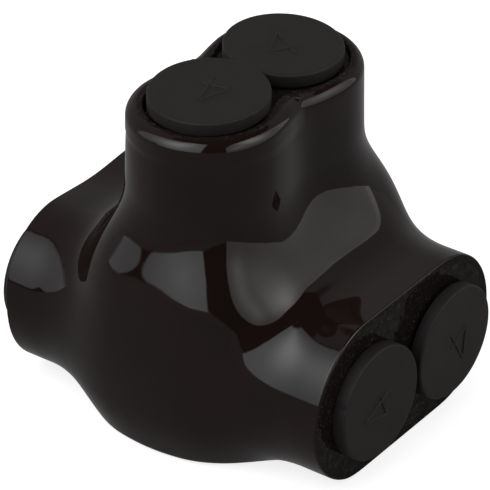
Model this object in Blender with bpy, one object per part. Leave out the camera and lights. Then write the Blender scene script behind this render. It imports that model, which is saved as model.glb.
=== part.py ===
"""Insulated two port splice connector, in metres with +Z up.

A metal block with two through bores takes the wires along X, side by side in Y.
A set screw comes down on each wire from the tower on top. One soft moulded cover
holds the block, and six rubber caps plug its openings. The origin is at the
middle of the flat underside.
"""

import math

import bmesh
import bpy
import numpy as np

MM = 0.001

# Fits
FIT_GAP = 0.3 * MM
CAP_SPACING = 1.1 * MM

# Metal block
WIRE_BORE = 17.5 * MM
BORE_CHAMFER = 0.7 * MM
BLOCK_LENGTH = 29.0 * MM
BLOCK_SIDE_WALL = 5.0 * MM
BLOCK_FLOOR = 5.2 * MM
THREAD_DEPTH = 12.0 * MM
BLOCK_EDGE = 2.5 * MM

# Set screws
SCREW_DIAMETER = 15.2 * MM
SCREW_LENGTH = 15.0 * MM
SCREW_CHAMFER = 0.9 * MM
SCREW_POINT = 2.0 * MM
SCREW_CLEARANCE = 0.6 * MM
HEX_KEY = 8.0 * MM
HEX_DEPTH = 8.0 * MM

# Rubber caps
OPENING_LEAD = 1.5 * MM
CAP_LIP = 2.25 * MM
CAP_THICKNESS = 3.9 * MM
CAP_EDGE = 0.5 * MM
SPIGOT_LENGTH = 8.0 * MM
SPIGOT_WALL = 1.8 * MM
CAP_FLOOR = 3.0 * MM
RIB_HEIGHT = 0.5 * MM
RIB_WIDTH = 1.4 * MM
RIB_COUNT = 2
NEAR_CAP_LIFT = 1.1 * MM

# Moulded cover
COVER_FLOOR = 2.5 * MM
COVER_ROOF = 5.9 * MM
COVER_END_WALL = 2.2 * MM
COVER_SIDE_WALL = 6.25 * MM
TOWER_RISE = 28.7 * MM
TOWER_RIM = 3.65 * MM
TOWER_SLOPE = 0.018
SNOUT_REACH = 22.7 * MM
SNOUT_RIM = 5.2 * MM
BELLY_ROUND = 10.5 * MM
WAIST_BLEND = 10.0 * MM
SNOUT_BLEND = 14.4 * MM
TOWER_BLEND = 4.0 * MM
TOWER_EDGE = 4.4 * MM
BASE_EDGE = 1.2 * MM

# Facets and cuts
ROUND_STEPS = 32
COVER_COLUMNS = 56
COVER_ROWS = 26
RIM_ROWS = 3
CUT_MARGIN = 2.0 * MM
SNOUT_SPARE = 8.0 * MM

# Sizes that follow
opening_bore = WIRE_BORE + OPENING_LEAD
cap_diameter = opening_bore + 2 * CAP_LIP
port_pitch = cap_diameter + CAP_SPACING
block_width = port_pitch + WIRE_BORE + 2 * BLOCK_SIDE_WALL
block_height = BLOCK_FLOOR + WIRE_BORE + THREAD_DEPTH
block_base = COVER_FLOOR + FIT_GAP
block_top = block_base + block_height
port_height = block_base + BLOCK_FLOOR + WIRE_BORE / 2
tower_top = block_top + TOWER_RISE
tower_radius = cap_diameter / 2 + TOWER_RIM
snout_end = BLOCK_LENGTH / 2 + SNOUT_REACH
snout_radius = cap_diameter / 2 + SNOUT_RIM
screw_tip = port_height + WIRE_BORE / 2 + SCREW_CLEARANCE

SIDES = {"near": -port_pitch / 2, "far": port_pitch / 2}
# The cap over the near screw isn't pushed fully home.
SCREW_CAP_LIFTS = {"near": NEAR_CAP_LIFT, "far": 0.0}


def clear_scene():
    for obj in list(bpy.data.objects):
        bpy.data.objects.remove(obj, do_unlink=True)


def make_material(name, colour, roughness, metallic=0.0):
    material = bpy.data.materials.new(name)
    material.use_nodes = True
    shader = material.node_tree.nodes["Principled BSDF"]
    shader.inputs["Base Color"].default_value = (*colour, 1.0)
    shader.inputs["Roughness"].default_value = roughness
    shader.inputs["Metallic"].default_value = metallic
    return material


def add_object(name, mesh, material=None, location=(0, 0, 0), rotation=(0, 0, 0)):
    obj = bpy.data.objects.new(name, mesh)
    obj.location = location
    obj.rotation_euler = rotation
    bpy.context.collection.objects.link(obj)
    if material and not mesh.materials:
        mesh.materials.append(material)
    return obj


def finish_mesh(bm, name, sharp_angle=35):
    """Turns a bmesh into a mesh with outward faces, smooth but for its sharp edges."""
    bmesh.ops.recalc_face_normals(bm, faces=bm.faces)
    mesh = bpy.data.meshes.new(name)
    bm.to_mesh(mesh)
    bm.free()
    mesh.shade_smooth()
    mesh.set_sharp_from_angle(angle=math.radians(sharp_angle))
    return mesh


def turned_mesh(name, profile, steps=ROUND_STEPS):
    """Spins a profile of (radius, height) points, which starts and ends on the axis, about Z."""
    bm = bmesh.new()
    points = [bm.verts.new((radius, 0, height)) for radius, height in profile]
    edges = [bm.edges.new(pair) for pair in zip(points, points[1:])]
    bmesh.ops.spin(
        bm, geom=points + edges, cent=(0, 0, 0), axis=(0, 0, 1),
        angle=2 * math.pi, steps=steps, use_merge=True,
    )
    bmesh.ops.remove_doubles(bm, verts=bm.verts, dist=MM / 1000)
    return finish_mesh(bm, name)


def carve(target, cutters):
    """Takes the cutters out of the target, then clears them away."""
    for cutter in cutters:
        cut = target.modifiers.new(cutter.name, "BOOLEAN")
        cut.operation = "DIFFERENCE"
        cut.solver = "EXACT"
        cut.object = cutter
    bpy.context.view_layer.update()
    evaluated = target.evaluated_get(bpy.context.evaluated_depsgraph_get())
    carved = bpy.data.meshes.new_from_object(evaluated)
    target.modifiers.clear()
    target.data = carved
    carved.shade_smooth()
    carved.set_sharp_from_angle(angle=math.radians(35))
    for cutter in cutters:
        bpy.data.objects.remove(cutter, do_unlink=True)


def cylinder_cutter(name, radius, start, end, along_x=False):
    """A round cutter from start to end, upright or lying along X."""
    profile = [(0, start), (radius, start), (radius, end), (0, end)]
    turn = (0, math.radians(90), 0) if along_x else (0, 0, 0)
    return add_object(name, turned_mesh(name, profile), rotation=turn)


def bevelled_box(name, size, centre, edge):
    bm = bmesh.new()
    bmesh.ops.create_cube(bm, size=1)
    bmesh.ops.scale(bm, vec=size, verts=bm.verts)
    bmesh.ops.bevel(bm, geom=list(bm.edges), offset=edge, segments=3, profile=0.5, affect="EDGES")
    bmesh.ops.translate(bm, vec=centre, verts=bm.verts)
    return finish_mesh(bm, name)


# The cover's outside is one smooth skin: the belly round the block, a snout for
# the wires and a tower for the screws, melted into each other as in the mould.

def smooth_min(a, b, blend):
    """The lower of two distances, with the crease between them filled over the blend."""
    near = np.maximum(blend - np.abs(a - b), 0) / blend
    return np.minimum(a, b) - near * near * blend / 4


def smooth_max(a, b, blend):
    return -smooth_min(-a, -b, blend)


def tower_distance(x, y, z):
    """Two round lobes side by side, joined at a waist and wider towards the block."""
    near_lobe = np.hypot(x, y + port_pitch / 2) - tower_radius
    far_lobe = np.hypot(x, y - port_pitch / 2) - tower_radius
    return smooth_min(near_lobe, far_lobe, WAIST_BLEND) - TOWER_SLOPE * (tower_top - z)


def snout_distance(y, z):
    """A flat sided oval that runs along X round both wire ports."""
    beside = np.maximum(np.abs(y) - port_pitch / 2, 0)
    return np.hypot(beside, z - port_height) - snout_radius


def belly_distance(x, y, z):
    """A box round the block with well rounded edges."""
    half = np.array([
        BLOCK_LENGTH / 2 + FIT_GAP + COVER_END_WALL,
        block_width / 2 + FIT_GAP + COVER_SIDE_WALL,
        (block_top + FIT_GAP + COVER_ROOF) / 2,
    ]) - BELLY_ROUND
    beyond_x = np.abs(x) - half[0]
    beyond_y = np.abs(y) - half[1]
    beyond_z = np.abs(z - half[2] - BELLY_ROUND) - half[2]
    outside = np.sqrt(sum(np.maximum(d, 0) ** 2 for d in (beyond_x, beyond_y, beyond_z)))
    inside = np.minimum(np.maximum(np.maximum(beyond_x, beyond_y), beyond_z), 0)
    return outside + inside - BELLY_ROUND


def skin_distance(x, y, z):
    """The melted form before its ends are cut: below zero inside it."""
    body = smooth_min(belly_distance(x, y, z), snout_distance(y, z), SNOUT_BLEND)
    return smooth_min(body, tower_distance(x, y, z), TOWER_BLEND)


def cover_distance(x, y, z):
    """The form with its top and base cut flat and each snout left long for trimming."""
    ends = np.abs(x) - (snout_end + SNOUT_SPARE)
    form = smooth_max(skin_distance(x, y, z), ends, CUT_MARGIN)
    form = smooth_max(form, z - tower_top, TOWER_EDGE)
    return smooth_max(form, -z, BASE_EDGE)


def crossing(distance, low, high):
    """Halves the span between low and high until it holds where the distance is zero."""
    for _ in range(44):
        middle = (low + high) / 2
        outside = distance(middle) > 0
        high = np.where(outside, middle, high)
        low = np.where(outside, low, middle)
    return (low + high) / 2


def flat_angle(azimuth, height, edge, centre):
    """The angle from the Z axis at which a flat at this height gives way to its rounded edge."""
    def depth(reach):
        return skin_distance(reach * np.cos(azimuth), reach * np.sin(azimuth), height) + edge
    start = np.zeros_like(azimuth)
    reach = crossing(depth, start, start + snout_end)
    return np.arctan2(reach, height - centre)


def skin_points(angle, azimuth, centre):
    """Where rays from the middle of the form leave it, for arrays of polar angles."""
    dx = np.sin(angle) * np.cos(azimuth)
    dy = np.sin(angle) * np.sin(azimuth)
    dz = np.cos(angle)

    def along_ray(reach):
        return cover_distance(reach * dx, reach * dy, centre + reach * dz)

    furthest = tower_top + snout_end + block_width
    start = np.zeros_like(angle)
    reach = crossing(along_ray, start, start + furthest)
    return np.stack([reach * dx, reach * dy, centre + reach * dz], axis=-1)


def row_lengths(total):
    """Distances down each line of the skin: close rows over the rim, then even ones."""
    rim = np.linspace(0, TOWER_EDGE * 1.3, RIM_ROWS + 1)[:, None] + 0 * total
    even = np.linspace(0, 1, COVER_ROWS + 1)[1:, None]
    return np.concatenate([rim, rim[-1] + even * (total - rim[-1])])


def cover_grid():
    """Rows of points from the tower's rim down to the edge of the base."""
    centre = port_height + FIT_GAP
    azimuth = np.linspace(0, 2 * np.pi, COVER_COLUMNS, endpoint=False)
    top = flat_angle(azimuth, tower_top, TOWER_EDGE, centre)
    base = flat_angle(azimuth, 0.0, BASE_EDGE, centre)
    angle = top + (base - top) * np.linspace(0, 1, 12 * COVER_ROWS)[:, None]
    fine = skin_points(angle, azimuth + 0 * angle, centre)
    steps = np.linalg.norm(np.diff(fine, axis=0), axis=-1)
    length = np.concatenate([np.zeros((1, COVER_COLUMNS)), np.cumsum(steps, axis=0)])
    wanted = row_lengths(length[-1])
    columns = range(COVER_COLUMNS)
    even = [np.interp(wanted[:, i], length[:, i], angle[:, i]) for i in columns]
    even = np.stack(even, axis=1)
    grid = skin_points(even, azimuth + 0 * even, centre)
    grid[0, :, 2] = tower_top
    grid[-1, :, 2] = 0
    return grid


def trim_snout(bm, side):
    """Cuts a snout square at its end and closes the cut with one flat face."""
    cut = bmesh.ops.bisect_plane(
        bm, geom=bm.verts[:] + bm.edges[:] + bm.faces[:], clear_outer=True,
        plane_co=(side * snout_end, 0, 0), plane_no=(side, 0, 0),
    )
    rim = [item for item in cut["geom_cut"] if isinstance(item, bmesh.types.BMEdge)]
    bmesh.ops.edgeloop_fill(bm, edges=rim)


def cover_skin():
    """The cover as a solid form, before it is opened up."""
    grid = cover_grid()
    rows, columns = grid.shape[:2]
    bm = bmesh.new()
    verts = [[bm.verts.new(point) for point in row] for row in grid]
    for upper, lower in zip(verts, verts[1:]):
        for i in range(columns):
            j = (i + 1) % columns
            bm.faces.new((upper[i], lower[i], lower[j], upper[j]))
    bm.faces.new(verts[0])
    bm.faces.new(verts[-1])
    for side in (-1, 1):
        trim_snout(bm, side)
    return finish_mesh(bm, "insulating_cover")


def build_cover(material):
    cover = add_object("insulating_cover", cover_skin(), material)
    cavity_size = (
        BLOCK_LENGTH + 2 * FIT_GAP,
        block_width + 2 * FIT_GAP,
        block_height + 2 * FIT_GAP,
    )
    block_middle = (0, 0, (block_base + block_top) / 2)
    cavity = bevelled_box("cavity_cutter", cavity_size, block_middle, BLOCK_EDGE)
    cutters = [add_object("cavity_cutter", cavity)]
    past_ends = snout_end + CUT_MARGIN
    well_base = block_top - THREAD_DEPTH / 2
    for side, y in SIDES.items():
        wire = cylinder_cutter(
            f"{side}_wire_cutter", opening_bore / 2, -past_ends, past_ends, along_x=True
        )
        wire.location = (0, y, port_height)
        screw = cylinder_cutter(
            f"{side}_screw_cutter", opening_bore / 2, well_base, tower_top + CUT_MARGIN
        )
        screw.location = (0, y, 0)
        cutters += [wire, screw]
    carve(cover, cutters)
    return cover


def wire_bore_cutter(name):
    """A bore right through the block, with a lead in chamfer at each mouth."""
    radius = WIRE_BORE / 2
    mouth = BLOCK_LENGTH / 2
    flare = radius + BORE_CHAMFER + CUT_MARGIN
    profile = [
        (0, -mouth - CUT_MARGIN), (flare, -mouth - CUT_MARGIN), (radius, -mouth + BORE_CHAMFER),
        (radius, mouth - BORE_CHAMFER), (flare, mouth + CUT_MARGIN), (0, mouth + CUT_MARGIN),
    ]
    return add_object(name, turned_mesh(name, profile), rotation=(0, math.radians(90), 0))


def build_block(material):
    size = (BLOCK_LENGTH, block_width, block_height)
    mesh = bevelled_box("connector_block", size, (0, 0, (block_base + block_top) / 2), BLOCK_EDGE)
    block = add_object("connector_block", mesh, material)
    cutters = []
    for side, y in SIDES.items():
        wire = wire_bore_cutter(f"{side}_bore_cutter")
        wire.location = (0, y, port_height)
        tapped = cylinder_cutter(
            f"{side}_tapping_cutter", SCREW_DIAMETER / 2 + FIT_GAP, port_height, block_top + CUT_MARGIN
        )
        tapped.location = (0, y, 0)
        cutters += [wire, tapped]
    carve(block, cutters)
    return block


def build_set_screw(side, y, material):
    """A headless screw with a hex socket and a blunt point, backed out clear of the wire."""
    radius = SCREW_DIAMETER / 2
    profile = [
        (0, 0), (radius - SCREW_POINT, 0), (radius, SCREW_POINT * 0.7),
        (radius, SCREW_LENGTH - SCREW_CHAMFER), (radius - SCREW_CHAMFER, SCREW_LENGTH),
        (0, SCREW_LENGTH),
    ]
    name = f"{side}_set_screw"
    screw = add_object(name, turned_mesh(name, profile), material, location=(0, y, screw_tip))
    corner_radius = HEX_KEY / 2 / math.cos(math.radians(30))
    socket_base = SCREW_LENGTH - HEX_DEPTH
    socket = [
        (0, socket_base), (corner_radius, socket_base),
        (corner_radius, SCREW_LENGTH + CUT_MARGIN), (0, SCREW_LENGTH + CUT_MARGIN),
    ]
    cutter_name = f"{side}_socket_cutter"
    cutter = add_object(cutter_name, turned_mesh(cutter_name, socket, steps=6), location=screw.location)
    carve(screw, [cutter])
    return screw


def spigot_profile(outer):
    """The ribbed wall of the spigot from its open end up to the flange."""
    body = outer - RIB_HEIGHT
    points = [(body, -SPIGOT_LENGTH)]
    pitch = SPIGOT_LENGTH / (RIB_COUNT + 1)
    for rib in range(1, RIB_COUNT + 1):
        low = rib * pitch - SPIGOT_LENGTH - RIB_WIDTH / 2
        points += [(body, low), (outer, low + RIB_WIDTH / 2), (body, low + RIB_WIDTH)]
    return points + [(body, FIT_GAP)]


def cap_mesh():
    """A thick round flange on a hollow ribbed spigot. The cover's face is at height zero."""
    outer = opening_bore / 2 - FIT_GAP
    inner = outer - RIB_HEIGHT - SPIGOT_WALL
    radius = cap_diameter / 2
    top = FIT_GAP + CAP_THICKNESS
    rounding = [
        (radius - CAP_EDGE * (1 - math.cos(turn)), top - CAP_EDGE * (1 - math.sin(turn)))
        for turn in (0, math.pi / 4, math.pi / 2)
    ]
    profile = [(0, top - CAP_FLOOR), (inner, top - CAP_FLOOR), (inner, -SPIGOT_LENGTH)]
    profile += spigot_profile(outer) + [(radius, FIT_GAP)] + rounding + [(0, top)]
    return turned_mesh("rubber_cap", profile)


def build_caps(material):
    """A cap on each opening: one above each screw and one at both ends of each wire bore."""
    mesh = cap_mesh()
    quarter_turn = math.radians(90)
    for side, y in SIDES.items():
        right = (snout_end, y, port_height)
        left = (-snout_end, y, port_height)
        above = (0, y, tower_top + SCREW_CAP_LIFTS[side])
        add_object(f"{side}_screw_cap", mesh, material, above)
        add_object(f"right_{side}_wire_cap", mesh, material, right, (0, quarter_turn, 0))
        add_object(f"left_{side}_wire_cap", mesh, material, left, (0, -quarter_turn, 0))


def build_connector():
    clear_scene()
    vinyl = make_material("black_vinyl", (0.012, 0.010, 0.010), 0.22)
    rubber = make_material("black_rubber", (0.022, 0.021, 0.023), 0.62)
    plated = make_material("plated_aluminium", (0.68, 0.69, 0.70), 0.35, 1.0)
    plain = make_material("screw_aluminium", (0.55, 0.56, 0.58), 0.40, 1.0)
    build_cover(vinyl)
    build_block(plated)
    for side, y in SIDES.items():
        build_set_screw(side, y, plain)
    build_caps(rubber)


build_connector()
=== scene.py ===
# %% [markdown]
# # An insulated splice connector
# Two thick wires enter each end of a metal block and two set screws clamp them. A soft
# moulded cover keeps fingers off the metal, and six rubber caps plug its openings.
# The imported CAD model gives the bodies, places and sizes. This lesson dresses it: each
# piece here is a surface worked out with numpy that stands where its CAD solid is.
# %% Load the frame
import math

import bmesh
import bpy
import numpy as np
from mathutils import Matrix, Vector


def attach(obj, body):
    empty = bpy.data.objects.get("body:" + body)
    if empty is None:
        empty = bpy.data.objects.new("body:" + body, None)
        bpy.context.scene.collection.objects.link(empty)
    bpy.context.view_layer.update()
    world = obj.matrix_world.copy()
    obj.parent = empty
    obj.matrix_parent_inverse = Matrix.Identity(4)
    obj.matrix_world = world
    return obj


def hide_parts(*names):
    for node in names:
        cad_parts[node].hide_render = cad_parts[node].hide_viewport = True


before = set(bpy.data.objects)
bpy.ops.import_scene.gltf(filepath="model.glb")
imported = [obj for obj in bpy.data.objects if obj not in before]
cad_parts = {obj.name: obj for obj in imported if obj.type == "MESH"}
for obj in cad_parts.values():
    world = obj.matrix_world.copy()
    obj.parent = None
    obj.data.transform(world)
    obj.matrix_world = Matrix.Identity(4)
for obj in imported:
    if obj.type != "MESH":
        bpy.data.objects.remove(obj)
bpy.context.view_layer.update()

MM = 0.001

# %% [markdown]
# ## The sizes
# The ports, the ends, the block, the screws and the caps have the CAD model's own sizes.
# The cover's blends are fuller, because its reflections show them so, and they stay inside
# the CAD model's box. All are written once here, in metres, for every later cell.
# %% Sizes
PITCH = 24.6 * MM
PORT_HEIGHT = 16.75 * MM
OPENING = 9.5 * MM
TOWER_TOP = 66.2 * MM
SNOUT_END = 37.2 * MM
TOWER_RADIUS = 15.4 * MM
TOWER_SLOPE = 0.018
SNOUT_RADIUS = 16.95 * MM
BELLY_HALF = np.array([17.0, 31.55, 21.0]) * MM
BELLY_ROUND = 10.5 * MM
WAIST_BLEND, SNOUT_BLEND, TOWER_BLEND = 12.5 * MM, 14.4 * MM, 10.5 * MM
BASE_EDGE, TOWER_RIM = 1.2 * MM, 2.4 * MM
NEAR_LEAN, LEAN_FADE, LEFT_SAG, LEFT_SHORT = 0.55 * MM, 2.6 * MM, 1.0 * MM, 1.1 * MM
CAP_RADIUS = 11.75 * MM
NEAR_CAP_LIFT = 1.1 * MM
BLOCK = np.array([[-14.5, -26.05, 2.8], [14.5, 26.05, 37.5]]) * MM
FIT_GAP = 0.3 * MM
SIDES = {"near": -PITCH / 2, "far": PITCH / 2}
print("cover is", round(2 * SNOUT_END / MM, 1), "mm long, its ports", PITCH / MM, "mm apart")

# %% [markdown]
# ## The camera
# The photograph looks down at the right snout's corner through a long lens, so far edges
# hardly shrink. A long lens is a camera standing well back with a narrow view: 334 mm on
# a 36 mm sensor from 877 mm away. The camera is turned by three axes at right angles.
# %% Camera
AZIMUTH, ELEVATION, ROLL = map(math.radians, (54.26, 32.55, 0.182))
LENS, SENSOR, DISTANCE = 333.74, 36.0, 877.4 * MM
AIM, AIM_ABOVE, AIM_ASIDE = Vector((0, 0, 30 * MM)), 0.24 * MM, 0.07 * MM


def put(name, data):
    """Adds a new object to the scene, at the origin and unturned."""
    item = bpy.data.objects.new(name, data)
    bpy.context.collection.objects.link(item)
    return item


away = Vector((
    math.cos(ELEVATION) * math.cos(AZIMUTH),
    -math.cos(ELEVATION) * math.sin(AZIMUTH),
    math.sin(ELEVATION),
))
level = Vector((math.sin(AZIMUTH), math.cos(AZIMUTH), 0))
upright = away.cross(level)
across = math.cos(ROLL) * level + math.sin(ROLL) * upright
above = math.cos(ROLL) * upright - math.sin(ROLL) * level
camera = put("camera", bpy.data.cameras.new("camera"))
camera.data.lens = LENS
camera.data.sensor_width = SENSOR
camera.data.clip_start, camera.data.clip_end = 0.02, 20.0
turn = Matrix((across, above, away)).transposed().to_4x4()
place = AIM + DISTANCE * away + AIM_ABOVE * above - AIM_ASIDE * across
camera.matrix_world = Matrix.Translation(place) @ turn
bpy.context.scene.camera = camera
bpy.context.scene.view_settings.view_transform = "Standard"
print("camera at", [round(v, 3) for v in place])

# %% [markdown]
# ## Shader maths in Python
# A material's pattern is arithmetic on values that change over the surface. Wiring each
# sum by hand hides the idea, so one small class wraps a node's output and lets Python's
# own + - * add the Math nodes. Every other node comes from one method.
# %% Field and Tree
class Field:
    """A value that changes over a surface: one output socket that Python can reckon with."""

    def __init__(self, tree, socket):
        self.tree, self.socket = tree, socket

    def reckon(self, operation, *terms, clamp=False):
        settings = {"operation": operation, "use_clamp": clamp}
        return self.tree.node("Math", settings, dict(enumerate(terms)))

    def __add__(self, other):
        return self.reckon("ADD", self, other)

    def __sub__(self, other):
        return self.reckon("SUBTRACT", self, other)

    def __rsub__(self, other):
        return self.reckon("SUBTRACT", other, self)

    def __mul__(self, other):
        return self.reckon("MULTIPLY", self, other)

    __radd__ = __add__

    def clamped(self):
        return self.reckon("ADD", self, 0.0, clamp=True)

    def ramp(self, low, high, out_low=0.0, out_high=1.0):
        """Runs smoothly from out_low to out_high while the value goes from low to high."""
        limits = {1: low, 2: high, 3: out_low, 4: out_high}
        return self.tree.node("MapRange", {"interpolation_type": "SMOOTHSTEP"}, {0: self, **limits})


class Tree:
    """A node tree with one way to add any node."""

    def __init__(self, node_tree):
        self.nodes, self.links = node_tree.nodes, node_tree.links

    def set(self, node, inputs):
        for key, value in inputs.items():
            if isinstance(value, Field):
                self.links.new(value.socket, node.inputs[key])
            else:
                node.inputs[key].default_value = value

    def node(self, kind, settings=None, inputs=None, output=0):
        node = self.nodes.new("ShaderNode" + kind)
        for key, value in (settings or {}).items():
            setattr(node, key, value)
        self.set(node, inputs or {})
        return Field(self, node.outputs[output])

    def mix(self, factor, first, second):
        """Goes from one colour to another as the factor goes from 0 to 1."""
        settings = {"data_type": "RGBA"}
        return self.node("Mix", settings, {0: factor, 6: first, 7: second}, output=2)

    def noise(self, points, size, detail=2.0, roughness=0.5, seed=0.0):
        """Cloudy noise about 0.5 whose patches are this size in metres."""
        inputs = {"Vector": points, "W": seed, "Scale": 1 / size, "Detail": detail,
                  "Roughness": roughness}
        return self.node("TexNoise", {"noise_dimensions": "4D"}, inputs)

    def emboss(self, shader, depth, height):
        """Shades the surface as though it rose by the height times the depth."""
        inputs = {"Strength": 1.0, "Distance": depth, "Height": height}
        self.set(shader, {"Normal": self.node("Bump", None, inputs)})

    def show_sum(self, first, second):
        """Adds two shaders up and shows the sum on the surface."""
        both = self.node("AddShader", None, {0: first, 1: second})
        self.set(self.nodes["Material Output"], {"Surface": both})


def new_material(name):
    """A material made of nodes, and its tree."""
    material = bpy.data.materials.new(name)
    material.use_nodes = True
    return material, Tree(material.node_tree)


def new_finish(name, **fixed):
    """A material, its tree and its shader, with the sockets that are the same all over."""
    material, tree = new_material(name)
    shader = tree.nodes["Principled BSDF"]
    tree.set(shader, {key.replace("_", " "): value for key, value in fixed.items()})
    return material, tree, shader


def grey(level, warmth=0.0):
    """A near grey colour that leans to red as its warmth goes up."""
    return (level * (1 + warmth), level, level * (1 - warmth * 0.25), 1.0)


# %% [markdown]
# ## Grids, rings and shells
# Every surface here is a table of points with rows and columns. Neighbouring points make
# four-sided faces. A closed piece is several such tables whose edges share points, so
# they are poured into one mesh, the doubled points are merged and the faces are turned
# outwards. Where two rings hold different numbers of points, a strip of triangles joins
# them, taking the next point from whichever ring is behind.
# %% Mesh helpers
MERGE = 0.001 * MM


def grid_faces(rows, columns, closed):
    """Quads between neighbours of a rows by columns table; closed joins last to first."""
    row, column = np.meshgrid(
        np.arange(rows - 1), np.arange(columns if closed else columns - 1), indexing="ij"
    )
    beside = (column + 1) % columns
    corners = [row * columns + column, row * columns + beside,
               (row + 1) * columns + beside, (row + 1) * columns + column]
    return np.stack(corners, axis=-1).reshape(-1, 4)


def lathe(radius, height, angle):
    """Points at these radii and heights, carried round Z to these angles."""
    sides = radius * np.cos(angle), radius * np.sin(angle), height
    return np.stack(np.broadcast_arrays(*sides), axis=-1)


def patch(points, faces):
    mesh = bpy.data.meshes.new("patch")
    mesh.from_pydata(np.asarray(points).reshape(-1, 3).tolist(), [], np.asarray(faces).tolist())
    return mesh


def grid_patch(points, closed=True):
    return patch(points, grid_faces(*points.shape[:2], closed))


def zip_patch(ring_a, ring_b, middle):
    """A strip of triangles between two rings round X, matched by their angle about it."""
    def angles(ring):
        return np.arctan2(ring[:, 2] - middle, ring[:, 1])

    ring_a, ring_b = ring_a[np.argsort(angles(ring_a))], ring_b[np.argsort(angles(ring_b))]
    count = len(ring_a)
    order = np.argsort(np.concatenate([angles(ring_a), angles(ring_b)]), kind="stable")
    on_a = order < count
    at_a = (np.cumsum(on_a) - 1) % count
    at_b = (np.cumsum(~on_a) - 1) % len(ring_b) + count
    was_a, was_b = np.roll(at_a, 1), np.roll(at_b, 1)
    triangles = np.stack([was_a, np.where(on_a, at_a, at_b), was_b], axis=-1)
    return patch(np.concatenate([ring_a, ring_b]), triangles)


def pour(patches, name):
    """One mesh of all the patches, doubles merged and faces turned outwards."""
    bm = bmesh.new()
    for piece in patches:
        bm.from_mesh(piece)
        bpy.data.meshes.remove(piece)
    bmesh.ops.remove_doubles(bm, verts=bm.verts, dist=MERGE)
    loose = [vert for vert in bm.verts if not vert.link_faces]
    bmesh.ops.delete(bm, geom=loose, context="VERTS")
    bmesh.ops.recalc_face_normals(bm, faces=bm.faces)
    open_edges = sum(not edge.is_manifold for edge in bm.edges)
    mesh = bpy.data.meshes.new(name)
    bm.to_mesh(mesh)
    bm.free()
    print(name, len(mesh.vertices), "points,", open_edges, "open edges")
    return mesh


# %% [markdown]
# ## Pieces and their values
# A poured mesh is shaded smoothly, except over edges sharper than an angle in degrees,
# and becomes a piece that rides on its CAD body. Two formulas serve all the cells below:
# a random ripple, and an ease that goes smoothly from zero to one.
# %% Piece helpers
def smooth_mesh(mesh, sharp):
    mesh.shade_smooth()
    mesh.set_sharp_from_angle(angle=math.radians(sharp))
    return mesh


def points_of(mesh):
    points = np.empty(len(mesh.vertices) * 3)
    mesh.vertices.foreach_get("co", points)
    return points.reshape(-1, 3)


def set_values(mesh, name, values):
    """Stores one number per point, which a material can read by its name."""
    attribute = mesh.attributes.new(name, "FLOAT", "POINT")
    attribute.data.foreach_set("value", values.astype(np.float32))


def add_piece(name, mesh, material, body, replaces=None):
    """Puts a piece on its CAD body; one that stands for a CAD node names it too."""
    piece = put(name, mesh)
    mesh.materials.clear()
    mesh.materials.append(material)
    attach(piece, body)
    if replaces:
        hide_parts(replaces)


def ripple(points, size, seed):
    """A smooth random height about zero: many plane waves of one length, crossed."""
    count = 18
    rng = np.random.default_rng(seed)
    waves = rng.normal(size=(3, count))
    waves *= 2 * np.pi / size / np.linalg.norm(waves, axis=0)
    crossed = np.sin(points @ waves + rng.uniform(0, 2 * np.pi, count))
    return crossed.sum(axis=-1) / (count / 2)


def ease(value, low, high):
    """Zero below low, one above high and a smooth rise between them."""
    part = np.clip((value - low) / (high - low), 0, 1)
    return part * part * (3 - 2 * part)


# %% [markdown]
# ## The cover's form
# The soft cover is one moulding: a belly round the block, a snout at each end and a
# tower with two lobes. Joining solids and rounding the seams afterwards never gives its
# melted look. A distance function does: each form says how far a point is outside it,
# and a smooth minimum of two distances fills the crease between them.
# %% Distances
def smooth_min(a, b, blend):
    """The lower distance, lowered more where both are alike: the crease is filled."""
    near = np.maximum(blend - np.abs(a - b), 0) / blend
    return np.minimum(a, b) - near * near * blend / 4


def nearness(y):
    """One at the near lobe, zero at the far one."""
    return ease(-y, -6 * MM, 6 * MM)


def tower_distance(x, y, z):
    """Two upright lobes joined at a waist, wider towards the block by the slope. The near
    lobe leans in a little more close under its rim."""
    near_lobe = np.hypot(x, y + PITCH / 2) - TOWER_RADIUS
    far_lobe = np.hypot(x, y - PITCH / 2) - TOWER_RADIUS
    under_rim = np.maximum(TOWER_TOP - TOWER_RIM - z, 0)
    lean = NEAR_LEAN * nearness(y) * np.exp(-under_rim / LEAN_FADE)
    lobes = smooth_min(near_lobe, far_lobe, WAIST_BLEND)
    return lobes - TOWER_SLOPE * (TOWER_TOP - z) + lean


def snout_distance(x, y, z):
    """A flat sided oval along X: the distance from a line between the two ports. The top
    of the left snout sags between its ports."""
    oval = np.hypot(np.maximum(np.abs(y) - PITCH / 2, 0), z - PORT_HEIGHT) - SNOUT_RADIUS
    sag = LEFT_SAG * np.exp(-(y / (10 * MM)) ** 2) * ease(-x, 12 * MM, 34 * MM)
    return oval + sag * ease(z, PORT_HEIGHT, PORT_HEIGHT + 10 * MM)


def belly_distance(x, y, z):
    """A rounded box: the distance beyond a smaller box, less the rounding."""
    centred = (x, y, z - BELLY_HALF[2])
    beyond = [np.abs(value) - (half - BELLY_ROUND) for value, half in zip(centred, BELLY_HALF)]
    outside = np.sqrt(sum(np.maximum(side, 0) ** 2 for side in beyond))
    inside = np.minimum(np.maximum(np.maximum(*beyond[:2]), beyond[2]), 0)
    return outside + inside - BELLY_ROUND


def skin_distance(x, y, z):
    """Below zero inside the cover's form, with its base rounded and cut flat at z = 0."""
    body = smooth_min(belly_distance(x, y, z), snout_distance(x, y, z), SNOUT_BLEND)
    form = smooth_min(body, tower_distance(x, y, z), TOWER_BLEND)
    return -smooth_min(-form, z, BASE_EDGE)


def crossing(distance, low, high, steps=40):
    """Halves the span from low to high until it holds where the distance is zero."""
    for _ in range(steps):
        middle = (low + high) / 2
        outside = distance(middle) > 0
        low, high = np.where(outside, low, middle), np.where(outside, middle, high)
    return (low + high) / 2


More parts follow.
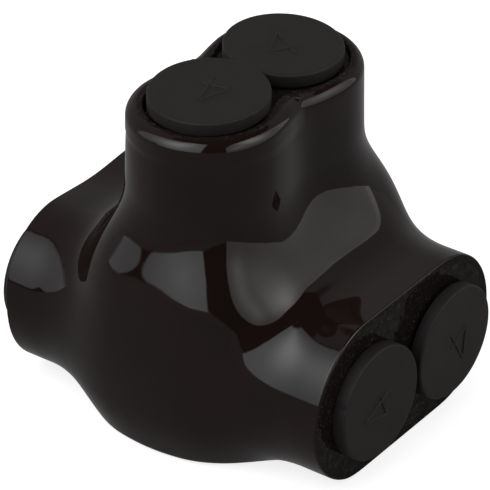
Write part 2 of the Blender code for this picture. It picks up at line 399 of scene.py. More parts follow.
waist = crossing(
    lambda x: skin_distance(x, 0 * x, TOWER_TOP - 10 * MM), np.zeros(1), np.full(1, 30 * MM)
)
print("the tower's waist is", round(2 * waist[0] / MM, 1), "mm across")

# %% [markdown]
# ## The mouths
# The tower's top and each snout's end are flat faces with two round openings. Real ones
# have a rounded or trimmed rim outside, a rough flat where the mould was cut open, and a
# lip into each hole. One half of a mouth is a grid whose columns turn round its own port:
# rows run up the wall, round the rim, across the flat, over the lip and down the hole.
# The other half is its mirror image, and the two share the seam between the ports.
# %% Mouth
RIM_COLUMNS, SEAM_COLUMNS = 132, 52
WALL_ROWS, RIM_ROWS, FACE_ROWS = 7, 8, 26
LIP, TEAR = 0.35 * MM, 1.9 * MM


class Mouth:
    """A flat end of the cover. section(u, v, depth) is the skin's distance in the plane
    that lies depth below the face; place(u, v, rise) puts flat points into space. rim is
    the radius of its edge and start is how far below the face its wall begins."""

    def __init__(self, section, place, rim, start, hole_depth, roughness=0.0, seed=0):
        self.section, self.place = section, place
        self.rim, self.start, self.hole_depth = rim, start, hole_depth
        self.roughness, self.seed = roughness, seed
        reach = np.full(2, TOWER_RADIUS * 2)
        heights = crossing(lambda r: section(0 * r, r * [1, -1], rim), 0 * reach, reach)
        self.corners = np.arctan2(heights * [1, -1], -PITCH / 2)

    def outline(self, angle, depth):
        """Points where rays from the port at these angles leave the skin."""
        cos, sin = np.cos(angle), np.sin(angle)
        start = np.zeros_like(angle)
        reach = crossing(
            lambda r: self.section(PITCH / 2 + r * cos, r * sin, depth), start, start + 40 * MM
        )
        u = PITCH / 2 + reach * cos
        u[[0, -1]] = 0
        return np.stack([u, reach * sin], axis=-1)

    def rim_angles(self):
        high, low = self.corners
        return np.linspace(low, high, RIM_COLUMNS + 1)

    def wall_rows(self):
        """The wall up to the rim, then the rim's quarter round, as u, v and rise."""
        angle = self.rim_angles()
        depths = np.linspace(self.start, self.rim, WALL_ROWS)
        rows = [np.column_stack([self.outline(angle, d), np.full(len(angle), -d)]) for d in depths]
        edge = rows[-1][:, :2]

        def rise_along(u, v):
            ahead = self.section(edge[:, 0] + u, edge[:, 1] + v, self.rim)
            return ahead - self.section(edge[:, 0] - u, edge[:, 1] - v, self.rim)

        step = 0.01 * MM
        normal = np.stack([rise_along(step, 0), rise_along(0, step)], axis=-1)
        normal /= np.linalg.norm(normal, axis=-1, keepdims=True)
        for turn in np.linspace(0, math.pi / 2, RIM_ROWS + 1)[1:]:
            inset = edge - normal * self.rim * (1 - math.cos(turn))
            inset[[0, -1], 0] = 0
            rise = np.full(len(angle), self.rim * (math.sin(turn) - 1))
            rows.append(np.column_stack([inset, rise]))
        return np.stack(rows)

    def face_rows(self, edge):
        """From the rim and the seam across the flat, over the lip and down the hole."""
        high, low = self.corners
        seam_angle = np.linspace(high, low + 2 * np.pi, SEAM_COLUMNS + 1)[1:-1]
        seam = np.stack([0 * seam_angle, -PITCH / 2 * np.tan(seam_angle)], axis=-1)
        border = np.concatenate([edge, seam])
        angle = np.concatenate([self.rim_angles(), seam_angle])
        facing = np.stack([np.cos(angle), np.sin(angle)], axis=-1)
        port = np.array([PITCH / 2, 0])
        hole = port + facing * (OPENING + LIP)
        across = np.linspace(0, 1, FACE_ROWS)[:, None]
        flat = border + across[..., None] * (hole - border)
        rough = self.roughness * ease(across, 0, 0.2) * ease(1 - across, 0, 0.1)
        torn = ripple(self.place(flat[..., 0], flat[..., 1], 0), TEAR, self.seed)
        flat_rise = rough * (0.6 * torn - 0.8)
        rows = [np.concatenate([flat, flat_rise[..., None]], axis=-1)]
        profile = [(OPENING + LIP * (1 - math.sin(t)), LIP * (math.cos(t) - 1))
                   for t in np.linspace(0, math.pi / 2, 5)[1:]]
        profile += [(OPENING, -depth) for depth in np.linspace(LIP, self.hole_depth, 6)[1:]]
        profile += [(OPENING / 2, -self.hole_depth), (0, -self.hole_depth)]
        for radius, rise in profile:
            ring = port + facing * radius
            rows.append(np.column_stack([ring, np.full(len(ring), rise)])[None])
        return np.concatenate(rows)

    def half(self, rows, side):
        return self.place(side * rows[..., 0], rows[..., 1], rows[..., 2])

    def patches(self):
        wall = self.wall_rows()
        face = self.face_rows(wall[-1][:, :2])
        return [grid_patch(self.half(rows, side), closed) for side in (1, -1)
                for rows, closed in ((wall, False), (face, True))]

    def ring(self):
        """The first wall row all the way round, which the skin has to meet."""
        first = self.wall_rows()[0]
        return np.concatenate([self.half(first, 1), self.half(first, -1)[-2:0:-1]])


tower_mouth = Mouth(
    section=lambda u, v, depth: skin_distance(v, u, TOWER_TOP - depth),
    place=lambda u, v, rise: np.stack(
        [v + 0 * rise, u + 0 * rise, TOWER_TOP + rise + 0 * u], axis=-1
    ),
    rim=TOWER_RIM, start=4.4 * MM, hole_depth=28.9 * MM,
)


def snout_mouth(side):
    return Mouth(
        section=lambda u, v, depth: skin_distance(side * (SNOUT_END - depth), u, PORT_HEIGHT + v),
        place=lambda u, v, rise: np.stack(
            [side * (SNOUT_END + rise) + 0 * u, u + 0 * rise, PORT_HEIGHT + v + 0 * rise], axis=-1
        ),
        rim=0.45 * MM, start=1.3 * MM, hole_depth=23.2 * MM, roughness=0.05 * MM, seed=5 + side,
    )


snout_mouths = {side: snout_mouth(side) for side in (-1, 1)}
print("tower mouth ring has", len(tower_mouth.ring()), "points")

# %% [markdown]
# ## The skin between the mouths
# From a point inside the belly every ray leaves the form once. So the skin is a grid of
# directions: columns turn about the vertical and start at the tower's rim, rows go down
# to the base in even steps. The moulding isn't perfectly true, so away from the ends the
# skin sinks by a few hundredths of a millimetre in long soft waves, and its shine wanders.
# %% Skin
SKIN_ROWS, RAY_ROWS = 170, 900
CENTRE = PORT_HEIGHT + FIT_GAP
LONG_SINK, SHORT_SINK = 0.03 * MM, 0.005 * MM


def skin_points(polar, azimuth):
    """Where rays at these angles from the centre leave the form."""
    ray = np.stack([np.sin(polar) * np.cos(azimuth), np.sin(polar) * np.sin(azimuth),
                    np.cos(polar)], axis=-1)
    spare = SNOUT_END + 8 * MM

    def along(reach):
        x, y, z = np.moveaxis(reach[..., None] * ray, -1, 0)
        return np.maximum(skin_distance(x, y, CENTRE + z), np.abs(x) - spare)

    reach = crossing(along, np.zeros_like(polar), np.full_like(polar, 120 * MM))
    points = reach[..., None] * ray
    points[..., 2] += CENTRE
    x, _, z = np.moveaxis(points, -1, 0)
    free = ease(TOWER_TOP - z, 5 * MM, 11 * MM) * ease(z, 1 * MM, 5 * MM)
    free = free * ease(SNOUT_END - np.abs(x), 2 * MM, 8 * MM)
    sink = LONG_SINK * free * (1 - ripple(points, 17 * MM, 8))
    sink = sink + SHORT_SINK * free * (1 - ripple(points, 3.4 * MM, 21))
    return points - sink[..., None] * ray


def skin_grid():
    top = tower_mouth.ring()
    azimuth = np.arctan2(top[:, 1], top[:, 0])
    start = np.arctan2(np.hypot(top[:, 0], top[:, 1]), top[:, 2] - CENTRE)
    inset = BASE_EDGE * 0.98
    base_reach = crossing(
        lambda r: skin_distance(r * np.cos(azimuth), r * np.sin(azimuth), BASE_EDGE) + inset,
        0 * azimuth, 0 * azimuth + 60 * MM,
    )
    end = np.arctan2(base_reach, -CENTRE)
    fine = start + (end - start) * np.linspace(0, 1, RAY_ROWS)[:, None]
    path = skin_points(fine, azimuth + 0 * fine)
    length = np.zeros(fine.shape)
    length[1:] = np.cumsum(np.linalg.norm(np.diff(path, axis=0), axis=-1), axis=0)
    wanted = np.linspace(0, 1, SKIN_ROWS)[:, None] * length[-1]
    polar = np.stack(
        [np.interp(wanted[:, i], length[:, i], fine[:, i]) for i in range(len(azimuth))], axis=1
    )
    grid = skin_points(polar, azimuth + 0 * polar)
    grid[0] = top
    grid[-1, :, 2] = 0
    return grid


def trimmed_skin():
    """The skin and base with both snouts cut square, and the rings that the cuts leave."""
    grid = skin_grid()
    last = grid[-1]
    base = last * np.linspace(1, 0, 8)[:, None, None]
    bm = bmesh.new()
    bm.from_mesh(grid_patch(grid))
    bm.from_mesh(grid_patch(base))
    bmesh.ops.remove_doubles(bm, verts=bm.verts, dist=MERGE)
    rings = {}
    for side, mouth in snout_mouths.items():
        plane = side * (SNOUT_END - mouth.start)
        cut = bmesh.ops.bisect_plane(
            bm, geom=bm.verts[:] + bm.edges[:] + bm.faces[:], clear_outer=True,
            plane_co=(plane, 0, 0), plane_no=(side, 0, 0),
        )
        rim = [item.co[:] for item in cut["geom_cut"] if isinstance(item, bmesh.types.BMVert)]
        rings[side] = np.array(rim)
    mesh = bpy.data.meshes.new("patch")
    bm.to_mesh(mesh)
    bm.free()
    return mesh, rings


skin, cut_rings = trimmed_skin()
cover_patches = [skin, *tower_mouth.patches()]
for side, mouth in snout_mouths.items():
    cover_patches += [*mouth.patches(), zip_patch(cut_rings[side], mouth.ring(), PORT_HEIGHT)]
cover_mesh = pour(cover_patches, "insulating_cover")

# %% [markdown]
# ## The cavity
# The block sits in a box-shaped room inside the cover, into which all six holes open.
# The room never shows, so a plain rounded box is taken out of the solid skin. The exact
# Boolean keeps the walls of the holes and trims them where they meet the room.
# %% Cavity
def bevelled_box(name, low, high, edge, segments=3):
    bm = bmesh.new()
    bmesh.ops.create_cube(bm, size=1)
    bmesh.ops.scale(bm, vec=np.subtract(high, low), verts=bm.verts)
    bmesh.ops.bevel(
        bm, geom=list(bm.edges), offset=edge, segments=segments, profile=0.5, affect="EDGES"
    )
    bmesh.ops.translate(bm, vec=np.add(high, low) / 2, verts=bm.verts)
    mesh = bpy.data.meshes.new(name)
    bm.to_mesh(mesh)
    bm.free()
    return mesh


def carve(mesh, cutter_meshes, name):
    """Takes closed meshes out of a closed mesh."""
    target = put(name, mesh)
    cutters = []
    for cutter_mesh in cutter_meshes:
        cutter = put("cutter", cutter_mesh)
        cut = target.modifiers.new("cut", "BOOLEAN")
        cut.operation, cut.solver, cut.object = "DIFFERENCE", "EXACT", cutter
        cutters.append(cutter)
    bpy.context.view_layer.update()
    carved = bpy.data.meshes.new_from_object(
        target.evaluated_get(bpy.context.evaluated_depsgraph_get())
    )
    for spent in [target, *cutters]:
        bpy.data.objects.remove(spent, do_unlink=True)
    print(name, "carved:", len(carved.polygons), "faces")
    return carved


room = bevelled_box("room", BLOCK[0] - FIT_GAP, BLOCK[1] + FIT_GAP, 2.5 * MM)
cover_mesh = carve(cover_mesh, [room], "insulating_cover")

# %% [markdown]
# ## The rims under the screw caps
# The tower's round rim stands a little above its flat top, higher at the near cap, and
# inside it the mould's rough cut lies in a groove under the cap's disc. The heights are
# functions of the inset from the tower's outline and of the lobe. The left snout's end
# is cut a little aslant, so that its caps stand out beyond its lower half.
# %% Rims
RIM_LIFT, NEAR_LIFT, GROOVE, TORN_DEPTH = 0.7 * MM, 1.2 * MM, 0.35 * MM, 0.08 * MM
CREST, NEAR_CREST, CREST_FALL = 2.5 * MM, 0.15 * MM, 0.45 * MM


def rim_heights(points):
    """Height to add, and how torn the surface is there, from the inset and the lobe."""
    top = np.full(len(points), TOWER_TOP)
    inset = -tower_distance(points[:, 0], points[:, 1], top)
    near = nearness(points[:, 1])
    crest = CREST + NEAR_CREST * near
    cut = ease(inset, crest, crest + CREST_FALL)
    torn = ease(inset, 1.15 * MM, 1.6 * MM)
    rough = 0.7 * ripple(points, TEAR, 3) + 0.6 * ripple(points, 0.8 * MM, 4)
    lift = (RIM_LIFT + NEAR_LIFT * near) * (1 - cut) - GROOVE * cut
    return lift + torn * TORN_DEPTH * rough, torn


cover_points = points_of(cover_mesh)
heights, torn_top = rim_heights(cover_points)
# Both are views of the table, so adding to them moves the points.
along, height = cover_points[:, 0], cover_points[:, 2]
height += heights * ease(height, TOWER_TOP - 12 * MM, TOWER_TOP - 2.2 * MM)
torn_top *= ease(height, TOWER_TOP - 1.4 * MM, TOWER_TOP - 0.7 * MM)
cut_ends = ease(np.abs(along), SNOUT_END - 0.12 * MM, SNOUT_END - 0.02 * MM)
low_left = ease(-along, 22 * MM, 36 * MM) * ease(-height, -28 * MM, -14 * MM)
along += LEFT_SHORT * low_left
cover_mesh.vertices.foreach_set("co", cover_points.ravel())
cover_mesh.update()
set_values(cover_mesh, "trimmed", np.maximum(cut_ends, torn_top))
smooth_mesh(cover_mesh, 50)
print("the rim rises to", round(cover_points[:, 2].max() / MM, 2), "mm")

# %% [markdown]
# ## The vinyl
# The cover is soft black vinyl with a thin even gloss from the mould. Straight on it
# mirrors little, and at a glancing angle much more, which draws its pale outline. The
# mould was cut open at the mouths, and there the vinyl is dull, grainy and specked.
# %% Vinyl finish
def vinyl_finish():
    material, tree, shader = new_finish(
        "black_vinyl", Coat_Roughness=0.04, Coat_IOR=1.35, Specular_IOR_Level=0.0
    )
    points = tree.node("TexCoord", output=3)
    cut = tree.node("Attribute", {"attribute_name": "trimmed"}, output=2)
    cloud = tree.noise(points, 14 * MM, 3)
    speck = tree.noise(points, 0.7 * MM, 4, 0.65, seed=2.0)
    grain = tree.noise(points, 0.35 * MM, 3, 0.6, seed=5.0)
    skin_colour = tree.mix(cloud.ramp(0.35, 0.7), grey(0.0058, 0.66), grey(0.0064, 0.80))
    crumb = tree.noise(points, 0.5 * MM, 2, 0.5, seed=9.0)
    cut_colour = tree.mix(speck.ramp(0.50, 0.78), grey(0.008, 0.40), grey(0.036, 0.15))
    cut_colour = tree.mix(crumb.ramp(0.62, 0.72), cut_colour, grey(0.06, 0.15))
    colour = tree.mix(cut, skin_colour, cut_colour)
    dull = cut * 0.75
    tree.set(shader, {
        "Base Color": colour,
        "Roughness": 0.42 + cut * 0.2 + (grain - 0.5) * 0.1,
        "Coat Weight": (1 - dull) * cloud.ramp(0.2, 0.8, 0.28, 0.32),
    })
    height = tree.noise(points, 2.2 * MM, 2) * 0.35 + cut * (speck + grain * 0.6) * 1.8
    tree.emboss(shader, 0.02 * MM, height)
    return material


vinyl = vinyl_finish()
add_piece(
    "moulded_cover", cover_mesh, vinyl, "covered_block", "insulating_cover"
)
print("the cover is finished in", vinyl.name)

# %% [markdown]
# ## The caps
# Each cap is a thick disc on a hollow spigot whose two soft ribs grip the hole. A lathe
# would turn it from one outline, and so does the grid here: rows follow the outline and
# columns turn it. The disc is very slightly dished, its rim is eased and one small nick
# is left where it was torn from its runner.
# %% Cap
CAP_COLUMNS = 144
DISC_TOP, DISC_UNDER = 3.3 * MM, 0.55 * MM


def arc(centre, radius, start, end, count):
    """Points on part of a circle in the outline's plane, angles in degrees."""
    turn = np.radians(np.linspace(start, end, count))
    return [(centre[0] + radius * math.cos(t), centre[1] + radius * math.sin(t)) for t in turn]


def cap_outline():
    """From the middle of the hollow, down and up the ribbed spigot, round to the face."""
    body, rib, inner, foot = 8.7 * MM, 0.48 * MM, 6.9 * MM, -8 * MM
    roof, under, top, round_ = 0.6 * MM, DISC_UNDER, DISC_TOP, 0.42 * MM
    wide, tight = 0.5 * MM, 0.3 * MM
    outline = [(0, roof), (inner / 2, roof)]
    outline += arc((inner - wide, roof - wide), wide, 90, 0, 5)
    outline += arc((inner + tight, foot + tight), tight, 180, 270, 4)
    outline += arc((body - wide, foot + wide), wide, 270, 360, 5)
    height = np.linspace(foot + 0.8 * MM, under - tight, 44)
    phase = np.abs((height - foot) / (8 * MM / 3) - np.array([[1], [2]]))
    ribs = rib * np.maximum(1 - np.min(phase, axis=0) * 3.4, 0) ** 0.8
    outline += list(zip(body + ribs, height))
    outline += arc((body + tight, under - tight), tight, 180, 90, 4)
    outline += arc((CAP_RADIUS - round_ / 2, under + round_ / 2), round_ / 2, 270, 360, 4)
    outline += arc((CAP_RADIUS - round_, top - round_), round_, 0, 90, 8)
    radius = np.linspace(CAP_RADIUS - round_ - 0.6 * MM, 0, 14)
    dish = 0.05 * MM * ease(CAP_RADIUS - radius, 1 * MM, 7 * MM)
    return np.array(outline + list(zip(radius, top - dish)))


def cap_grid(nick_angle):
    """The outline carried round, with a nick in the rim and a rim that sways a little."""
    outline = cap_outline()
    angle = np.linspace(0, 2 * np.pi, CAP_COLUMNS, endpoint=False)
    radius, height = outline[:, :1], outline[:, 1:]
    beside = (angle - nick_angle + np.pi) % (2 * np.pi) - np.pi
    nick = np.exp(-(beside * CAP_RADIUS / (0.30 * MM)) ** 2)
    on_rim = ease(radius, CAP_RADIUS - 0.35 * MM, CAP_RADIUS - 0.05 * MM)
    sway = 0.035 * MM * np.sin(3 * angle + nick_angle) * ease(radius, 9.6 * MM, 11 * MM)
    radius = radius - 0.22 * MM * nick * on_rim - 0.05 * MM * on_rim + sway * on_rim
    return lathe(radius, height, angle)


print("the cap's outline has", len(cap_outline()), "points")

# %% [markdown]
# ## The numeral
# The numeral on each face tells the size of the opening. It is a figure four in thin
# raised strokes. A stroke is a rod with round ends and an oval section, sunk to half its
# depth in the rubber: rows go along it and columns round it.
# %% Numeral
def stroke(start, end, height):
    """A rod from start to end: its section shrinks to a point over each round end."""
    start, end = np.array(start) * MM, np.array(end) * MM
    length = np.linalg.norm(end - start)
    along = (end - start) / length
    beside = np.array([-along[1], along[0]])
    half_width, half_height = 0.34 * MM, 0.42 * MM
    turn = np.linspace(-np.pi / 2, np.pi / 2, 9)
    reach = np.concatenate([half_width * np.sin(turn[:5]), length + half_width * np.sin(turn[4:])])
    size = np.concatenate([np.cos(turn[:5]), np.cos(turn[4:])])[:, None]
    around = np.linspace(0, 2 * np.pi, 14, endpoint=False)
    flat = start + reach[:, None, None] * along
    flat = flat + (half_width * size * np.cos(around))[..., None] * beside
    rise = height + half_height * size * np.sin(around)
    return np.concatenate([flat, rise[..., None]], axis=-1)


def numeral_patches(middle, turn):
    """A figure four about its crossing: the stem, the foot of the slope and the bar."""
    top, foot, left, right = (0.0, 5.7), (0.0, -2.2), (-4.1, 0.25), (1.2, -0.05)
    cos, sin = math.cos(turn), math.sin(turn)
    level = DISC_TOP - 0.20 * MM
    patches = []
    for start, end in ((foot, top), (top, left), (left, right)):
        rod = stroke(start, end, level)
        u, v, rise = np.moveaxis(rod, -1, 0)
        x, y = cos * u - sin * v + middle[0] * MM, sin * u + cos * v + middle[1] * MM
        patches.append(grid_patch(np.stack([x, y, rise], axis=-1)))
    return patches


# %% [markdown]
# ## Rubber
# The caps are a duller, slightly lighter black than the cover. Rubber has next to no
# gloss, so the finish is rough, with faint clouds of mould dust and a few pale specks.
# %% Rubber finish
def rubber_finish():
    material, tree, shader = new_finish("black_rubber", Specular_IOR_Level=0.05, IOR=1.45)
    points = tree.node("TexCoord", output=3)
    dust = tree.noise(points, 5 * MM, 4, 0.55)
    grain = tree.noise(points, 0.25 * MM, 3, 0.6, seed=3.0)
    speck = tree.noise(points, 0.5 * MM, 2, 0.5, seed=7.0).ramp(0.70, 0.80)
    colour = tree.mix(dust.ramp(0.3, 0.7), grey(0.0080, 0.21), grey(0.0100, 0.21))
    colour = tree.mix(speck * 0.5, colour, grey(0.026, 0.1))
    tree.set(shader, {"Base Color": colour, "Roughness": 0.60 + (grain - 0.5) * 0.15})
    tree.emboss(shader, 0.015 * MM, grain * 0.5 + dust * 0.5)
    return material


# %% [markdown]
# ## Placing the caps
# One cap grid is turned to face its opening. Soft caps are pressed in by hand, so each
# goes in any way round and its disc sits a little proud and aslant. The table gives, for
# each cap, its facing and port, the disc's shift in mm, its two slants in degrees, the
# numeral's crossing in mm and turn in degrees, and the nick's place round the rim.
# %% Place the caps
CAPS = {
    "near_screw_cap": ("up", "near", (0.2, 0.15, 0.24), (0.1, 2.3), (-1.18, 1.81), -164, -13),
    "far_screw_cap": ("up", "far", (0, 0, -0.1), (-2.3, -0.7), (1.69, -0.21), 62, 200),
    "right_near_wire_cap": ("right", "near", (0.2, -0.4, -0.1), (2.0, -1.1), (0.21, 0.51), 115, 160),
    "right_far_wire_cap": ("right", "far", (0.3, 0, 0.17), (0.8, 1.2), (-0.13, 0.08), -149, 250),
    "left_near_wire_cap": ("left", "near", (0.6, -0.5, 0.3), (-0.8, 0.9), (0.6, -1.2), -55, 75),
    "left_far_wire_cap": ("left", "far", (-0.1, 0, 0.1), (0.5, -0.6), (-0.9, 0.8), 28, 310),
}
# Each facing gives the directions that the face's own u, v and rise point in.
FACINGS = {
    "up": np.array([[1, 0, 0], [0, 1, 0], [0, 0, 1]], float),
    "right": np.array([[0, 1, 0], [0, 0, 1], [1, 0, 0]], float),
    "left": np.array([[0, -1, 0], [0, 0, 1], [-1, 0, 0]], float),
}


def port_origin(facing, port):
    """The middle of an opening on the cover's flat face."""
    if facing == "up":
        return np.array([0, SIDES[port], TOWER_TOP + (NEAR_CAP_LIFT if port == "near" else 0)])
    return np.array([SNOUT_END if facing == "right" else -SNOUT_END, SIDES[port], PORT_HEIGHT])


def settle(mesh, facing, port, shift, slants):
    """Shifts and slants the disc but not its spigot, then turns the mesh to its opening."""
    points = points_of(mesh)
    on_disc = ease(points[:, 2], -1.2 * MM, 0.2 * MM)
    slope = np.tan(np.radians(slants))
    points[:, 2] += on_disc * (points[:, :2] @ slope)
    points += on_disc[:, None] * np.array(shift) * MM
    points = points @ FACINGS[facing] + port_origin(facing, port)
    mesh.vertices.foreach_set("co", points.ravel())
    mesh.update()
    return mesh


rubber = rubber_finish()
for body, (facing, port, shift, slants, cross, turn_degrees, nick_degrees) in CAPS.items():
    cap_mesh = pour([grid_patch(cap_grid(math.radians(nick_degrees)))], body)
    cap_mesh = smooth_mesh(settle(cap_mesh, facing, port, shift, slants), 50)
    add_piece(body.replace("cap", "plug"), cap_mesh, rubber, body, body)
    number = pour(numeral_patches(cross, math.radians(turn_degrees)), body + "_numeral")
    number = smooth_mesh(settle(number, facing, port, shift, slants), 60)
    add_piece(body.replace("cap", "numeral"), number, rubber, body)

# %% [markdown]
# ## The set screws
# A headless screw is a threaded rod with a blunt point and a hexagon socket. The thread
# is a wave in the radius that climbs by one pitch each turn. The socket is the same grid
# carried inwards: its radius follows a hexagon instead of a circle.
# %% Screw
SCREW_RADIUS, SCREW_LENGTH, SCREW_TIP = 7.6 * MM, 15.0 * MM, 26.1 * MM
THREAD_PITCH, THREAD_HEIGHT, SOCKET_HALF = 1.5 * MM, 0.75 * MM, 4.0 * MM


def thread_wave(height, angle):
    """A rounded vee that repeats each pitch and climbs one pitch per turn, from 0 to 1."""
    phase = (height / THREAD_PITCH - angle / (2 * np.pi)) % 1
    return np.clip(np.abs(phase - 0.5) * 2 * 1.25 - 0.12, 0, 1)


def screw_grid():
    angle = np.linspace(0, 2 * np.pi, 120, endpoint=False)
    core = SCREW_RADIUS - THREAD_HEIGHT
    height = np.linspace(1.4 * MM, SCREW_LENGTH - 0.9 * MM, 110)[:, None]
    ends = ease(height, 1.4 * MM, 2.6 * MM) * ease(SCREW_LENGTH - height, 0.9 * MM, 2.0 * MM)
    radius = core + THREAD_HEIGHT * thread_wave(height, angle) * ends
    sixth = (angle + np.pi / 6) % (np.pi / 3) - np.pi / 6
    hexagon = SOCKET_HALF / np.cos(sixth)
    top = SCREW_LENGTH
    point = [(0, 0), (3.2 * MM, 0), (5.6 * MM, 0.05 * MM)]
    head = [
        (core - 0.25 * MM, top - 0.25 * MM), (core - 0.6 * MM, top),
        (hexagon + 0.5 * MM, top), (hexagon + 0.22 * MM, top - 0.03 * MM),
        (hexagon, top - 0.30 * MM), (hexagon, top - 7.9 * MM),
        (hexagon * 0.93, top - 8.0 * MM), (0, top - 9.2 * MM),
    ]
    rows = [lathe(size, level, angle) for size, level in point]
    rows += list(lathe(radius, height, angle))
    rows += [lathe(size, level, angle) for size, level in head]
    return np.stack(rows)


# %% [markdown]
# ## The block
# The block is cut from a drawn aluminium bar: its long edges are round, the wire bores
# are drilled through and the screw holes are tapped. The tap is the screw's own thread
# wave on a wider rod, so taking it out of the bar leaves a true inside thread.
# %% Block
BORE_ANGLES = np.linspace(0, 2 * np.pi, 96, endpoint=False)


def bore_mesh(y):
    """A drill along X with a wide cone at both mouths for the lead-in."""
    outline = [(0, -16.5), (11.45, -16.5), (8.75, -13.8), (8.75, 13.8), (11.45, 16.5), (0, 16.5)]
    radius, reach = np.array(outline).T[..., None] * MM
    upright = lathe(radius, reach, BORE_ANGLES)
    return pour([grid_patch(upright[..., [2, 0, 1]] + [0, y, PORT_HEIGHT])], "bore")


def tap_mesh(y):
    """A threaded rod that reaches from the wire bore up past the top of the block."""
    top = BLOCK[1, 2]
    height = np.linspace(PORT_HEIGHT, top, 150)[:, None]
    radius = 7.9 * MM + 0.6 * MM * thread_wave(height, BORE_ANGLES)
    rows = [lathe(0, PORT_HEIGHT, BORE_ANGLES), *lathe(radius, height, BORE_ANGLES)]
    rows += [lathe(size, top + 0.9 * MM, BORE_ANGLES) for size in (9.4 * MM, 0)]
    return pour([grid_patch(np.stack(rows) + [0, y, 0])], "tap")


def metal_finish(name, colour, roughness, grain_axis):
    """Drawn or turned aluminium: fine lines along one axis break up its shine."""
    material, tree, shader = new_finish(name, Metallic=1.0)
    points = tree.node("TexCoord", output=3)
    squash = [0.04 if axis == grain_axis else 1.0 for axis in "XYZ"]
    lines = tree.node("Mapping", None, {"Vector": points, "Scale": squash})
    streak = tree.noise(lines, 0.12 * MM, 3, 0.6)
    stain = tree.noise(points, 4 * MM, 3, 0.6, seed=4.0)
    darker = (*(0.8 * part for part in colour[:3]), 1)
    tree.set(shader, {
        "Base Color": tree.mix(stain.ramp(0.35, 0.75), colour, darker),
        "Roughness": roughness + (streak - 0.5) * 0.2 + stain * 0.08,
    })
    tree.emboss(shader, 0.006 * MM, streak)
    return material


bar = bevelled_box("bar", *BLOCK, 2.5 * MM, segments=6)
cutters = [make(y) for y in SIDES.values() for make in (bore_mesh, tap_mesh)]
block_mesh = smooth_mesh(carve(bar, cutters, "connector_block"), 30)
plated = metal_finish("plated_aluminium", (0.62, 0.63, 0.64, 1), 0.28, "X")
add_piece("drilled_block", block_mesh, plated, "covered_block", "connector_block")

bright = metal_finish("screw_aluminium", (0.50, 0.51, 0.53, 1), 0.30, "Z")
for side, y in SIDES.items():
    name = f"{side}_set_screw"
    screw = pour([grid_patch(screw_grid() + [0, y, SCREW_TIP])], name)
    add_piece(f"{side}_grub_screw", smooth_mesh(screw, 35), bright, name, name)

# %% [markdown]
# ## The floor, the world and the light
# The part stands on a pale floor in an even white room. Camera, glossy and transmission
# rays see the room at full white, and what lights the part is a plain grey sky and one
# soft lamp. For the same rays the floor glows a little, so it doesn't end in a grey edge.
# %% Floor and world
FLOOR_REACH, FLOOR_DROP = 3, 0.05 * MM
SEEN_GLOW, MIRRORED_GLOW = 0.8, 0.5


def ray_kinds(tree):
    """Three values that are one for a camera, a glossy or a transmission ray, else zero."""
    rays = tree.nodes.new("ShaderNodeLightPath").outputs
    kinds = ("Is Camera Ray", "Is Glossy Ray", "Is Transmission Ray")
    return [Field(tree, rays[kind]) for kind in kinds]


def floor_finish():
    material, tree = new_material("pale_floor")
    shader = tree.nodes["Principled BSDF"]
    tree.set(shader, {"Base Color": grey(0.5), "Roughness": 0.9, "Specular IOR Level": 0.0})
    seen, mirrored, passed = ray_kinds(tree)
    strength = seen * SEEN_GLOW + (mirrored + passed) * MIRRORED_GLOW
    glow = tree.node("Emission", None, {"Color": (1, 1, 1, 1), "Strength": strength})
    tree.show_sum(Field(tree, shader.outputs[0]), glow)
    return material


floor_corners = [(-1, -1, 0), (1, -1, 0), (1, 1, 0), (-1, 1, 0)]
floor_mesh = patch(np.multiply(floor_corners, FLOOR_REACH), [(0, 1, 2, 3)])
floor_mesh.materials.append(floor_finish())
floor = put("floor", floor_mesh)
floor.location.z = -FLOOR_DROP

world = bpy.data.worlds.new("room")
bpy.context.scene.world = world
world.use_nodes = True
sky = Tree(world.node_tree)
seen, mirrored, passed = ray_kinds(sky)
shade = sky.mix((seen + mirrored + passed).clamped(), grey(0.62), grey(1.0))
sky.set(sky.nodes["Background"], {"Color": shade, "Strength": 1.0})
print("the floor is", 2 * FLOOR_REACH, "m wide")

# %% [markdown]
# ## Panels for the shine
# A glossy black form shows mostly what it mirrors, so the studio is rebuilt for mirror
# rays alone. Two softboxes glow at their cores, and a dark room hangs behind and above
# them: it draws the black bands between the shining patches. Each is a sheet of a sphere
# whose shape is a formula in its azimuth and elevation, in degrees. The table at the end
# gives, for each sheet, the spans of both, its radius in metres, shape, glow and tint,
# and how much it hides.
# %% Panels
SHEET_COLUMNS, SHEET_ROWS = 240, 120


def sheet_of_sphere(name, azimuths, elevations, reach, inside, glow, tint, cover):
    """inside(azimuth, elevation) is positive within the shape, glow is its brightness
    there, and cover is how much it hides what stands behind it."""
    azimuth, elevation = np.meshgrid(
        np.linspace(*azimuths, SHEET_COLUMNS), np.linspace(*elevations, SHEET_ROWS)
    )
    turn, tip = np.radians(azimuth), np.radians(elevation)
    points = reach * np.stack(
        [np.cos(tip) * np.cos(turn), np.cos(tip) * np.sin(turn), np.sin(tip)], axis=-1
    )
    mesh = grid_patch(points, closed=False)
    within = ease(inside(azimuth, elevation), 0, 1)
    set_values(mesh, "within", within.ravel())
    set_values(mesh, "glow", (within * glow(azimuth, elevation)).ravel())
    material, tree = new_material(name)
    hidden = tree.node("Attribute", {"attribute_name": "within"}, output=2) * cover
    light = tree.node("Attribute", {"attribute_name": "glow"}, output=2)
    emitted = tree.node("Emission", None, {"Color": (*tint, 1), "Strength": light})
    behind = tree.node("MixShader", None, {
        0: hidden,
        1: tree.node("BsdfTransparent"),
        2: tree.node("Emission", None, {"Strength": 0.0}),
    })
    tree.show_sum(behind, emitted)
    mesh.materials.append(material)
    screen = put(name, mesh)
    screen.visible_camera = screen.visible_diffuse = screen.visible_shadow = False
    print(name, "shines or hides on", round(100 * within.mean()), "% of its sheet")


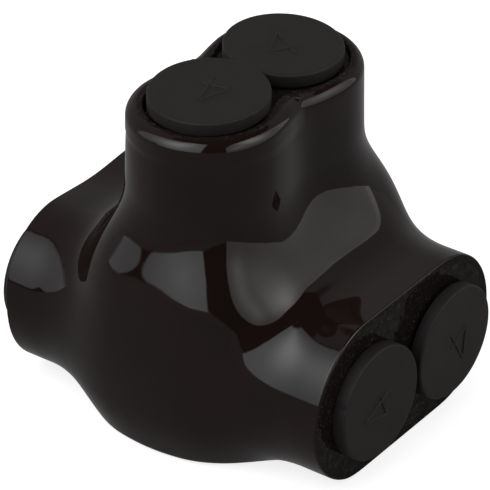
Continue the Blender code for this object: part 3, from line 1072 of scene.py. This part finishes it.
def core(azimuth, elevation, middle, spread):
    """A soft round spot: one at its middle, fading with the distance over the spread."""
    return np.exp(-((azimuth - middle[0]) / spread) ** 2 - ((elevation - middle[1]) / spread) ** 2)


def left_shape(azimuth, elevation):
    """A wide sheet whose lower edge climbs to the right and has one small hump."""
    low = np.interp(azimuth, (-160, -120, -95, -62), (1, 3, 6, 10))
    low = low + 4.5 * np.exp(-(((azimuth + 127) / 4) ** 2))
    sides = np.minimum((azimuth + 161) / 7, (-60 - azimuth + (elevation - 30) * 0.08) / 2.5)
    return np.minimum(sides, np.minimum((elevation - low) / 1.5, (84 - elevation) / 4))


def left_glow(azimuth, elevation):
    """Brighter to the right, with one wide core."""
    return 3.8 + 3 * ease(azimuth, -130, -95) + 12 * core(azimuth, elevation, (-108, 52), 27)


def right_shape(azimuth, elevation):
    """An arch: straight below and a round over it, fuller than an ellipse."""
    across, up = np.abs(azimuth - 16) / 46, np.maximum(elevation - 20, 0) / 42
    return np.minimum((1 - across ** 2.6 - up ** 2.6) * 14, (elevation + 2) / 1.5)


def right_glow(azimuth, elevation):
    """A wide core, and a small one low on the left."""
    main = 12 * core(azimuth, elevation, (20, 46), 22)
    return 3.4 + main + 4 * core(azimuth, elevation, (-14, 26), 10)


def dark_shape(azimuth, elevation):
    """All that is above an edge whose height is given at a few azimuths."""
    edge = np.interp(
        azimuth,
        (-180, -162, -158, -120, -95, -62, -45, -30, -26, 55, 57, 109, 140, 165, 180),
        (66, 66, 2, 2, 7, 11, 4, 0, -2, -2, 46, 48, 54, 66, 66),
    )
    return (elevation - edge) / 1.5


def no_glow(azimuth, elevation):
    return 0 * azimuth


COOL, WARM, BLACK = (0.97, 1.0, 1.04), (1.01, 1.0, 0.96), (0, 0, 0)
SHEETS = {
    "left_softbox": ((-162, -50), (0, 86), 1.2, left_shape, left_glow, COOL, 0),
    "right_softbox": ((-34, 66), (-6, 64), 1.2, right_shape, right_glow, WARM, 0),
    "dark_room": ((-180, 180), (-8, 89), 1.3, dark_shape, no_glow, BLACK, 1),
}
for name, sheet in SHEETS.items():
    sheet_of_sphere(name, *sheet)

lamp = put("soft_lamp", bpy.data.lights.new("soft_lamp", "AREA"))
lamp.data.shape, lamp.data.size, lamp.data.energy = "SQUARE", 0.6, 3.4
lamp.location = (-0.25, -0.6, 0.9)
lamp.rotation_mode = "QUATERNION"
lamp.rotation_quaternion = lamp.location.to_track_quat("Z", "Y")
lamp.visible_glossy = False
